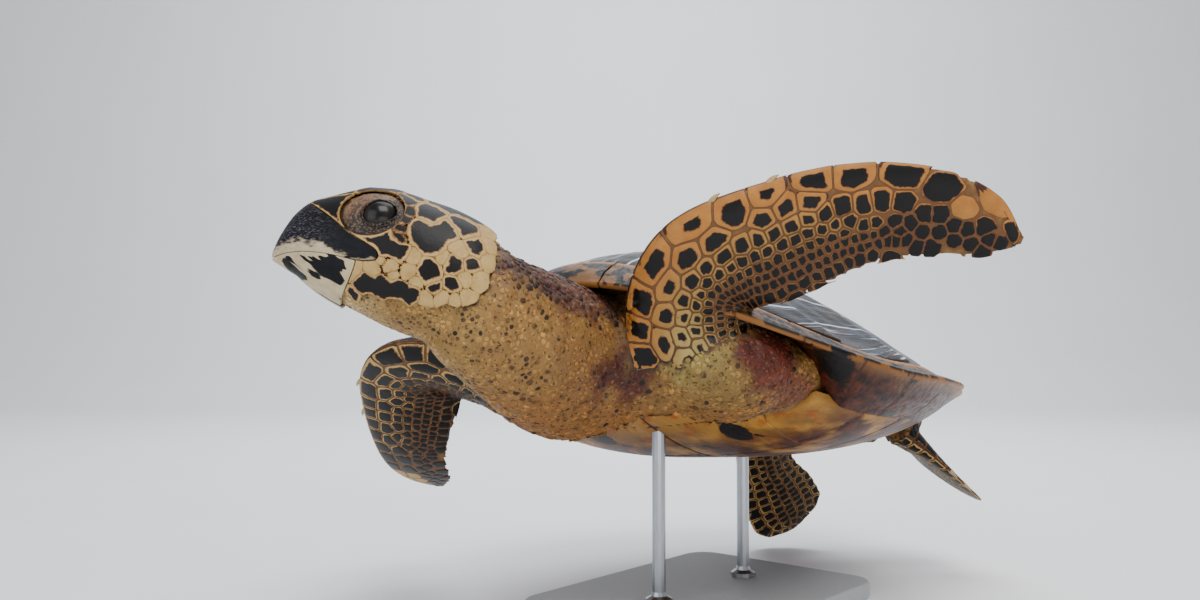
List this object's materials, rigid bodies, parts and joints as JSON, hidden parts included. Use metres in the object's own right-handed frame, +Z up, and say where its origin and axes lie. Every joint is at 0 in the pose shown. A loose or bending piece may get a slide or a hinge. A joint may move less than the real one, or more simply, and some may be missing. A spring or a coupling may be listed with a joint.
{
  "type": "hawksbill sea turtle model",
  "caption": "Still life-size hawksbill sea turtle in a swimming pose, banked and nose up, held by a plain flat stand with short rods.",
  "frame": {"origin": "middle of the underside of the stand's base, at floor level", "axes": "+Z up, +X the way the turtle heads, +Y towards its left side"},
  "size_m": [0.8986, 0.7132, 0.4399],
  "materials": {
    "carapace": "horny scutes, streaked blue-grey, black and pale, satin",
    "rim": "horny marginals and bridge, amber to red-brown, satin",
    "plastron": "horny belly scutes, cream to orange-yellow, satin",
    "skin": "wrinkled flecked skin, matt to satin",
    "scaled_skin": "dark scales with pale sutures, satin",
    "beak": "horny beak, dark blue-black with pale edges",
    "eye": "wet dark eye",
    "claw": "horn",
    "stand_base": "plain satin paint",
    "stand_rod": "brushed"
  },
  "bodies": {
    "root": {"vertebral_1": "carapace", "vertebral_2": "carapace", "vertebral_3": "carapace", "vertebral_4": "carapace", "vertebral_5": "carapace", "costal_left_1": "carapace", "costal_left_2": "carapace", "costal_left_3": "carapace", "costal_left_4": "carapace", "marginals_left": "rim", "bridge_left": "rim", "costal_right_1": "carapace", "costal_right_2": "carapace", "costal_right_3": "carapace", "costal_right_4": "carapace", "marginals_right": "rim", "bridge_right": "rim", "nuchal": "carapace", "plastron": "plastron", "trunk": "skin", "neck": "skin", "tail": "skin", "head": "scaled_skin", "beak_upper": "beak", "beak_lower": "beak", "eye_left": "eye", "eye_right": "eye", "flipper_front_left": "scaled_skin", "claw_front_left_1": "claw", "claw_front_left_2": "claw", "flipper_front_right": "scaled_skin", "claw_front_right_1": "claw", "claw_front_right_2": "claw", "flipper_rear_left": "scaled_skin", "claw_rear_left_1": "claw", "claw_rear_left_2": "claw", "flipper_rear_right": "scaled_skin", "claw_rear_right_1": "claw", "claw_rear_right_2": "claw", "stand_base": "stand_base", "stand_rod_1": "stand_rod", "stand_rod_2": "stand_rod"}
  },
  "joints": []
}
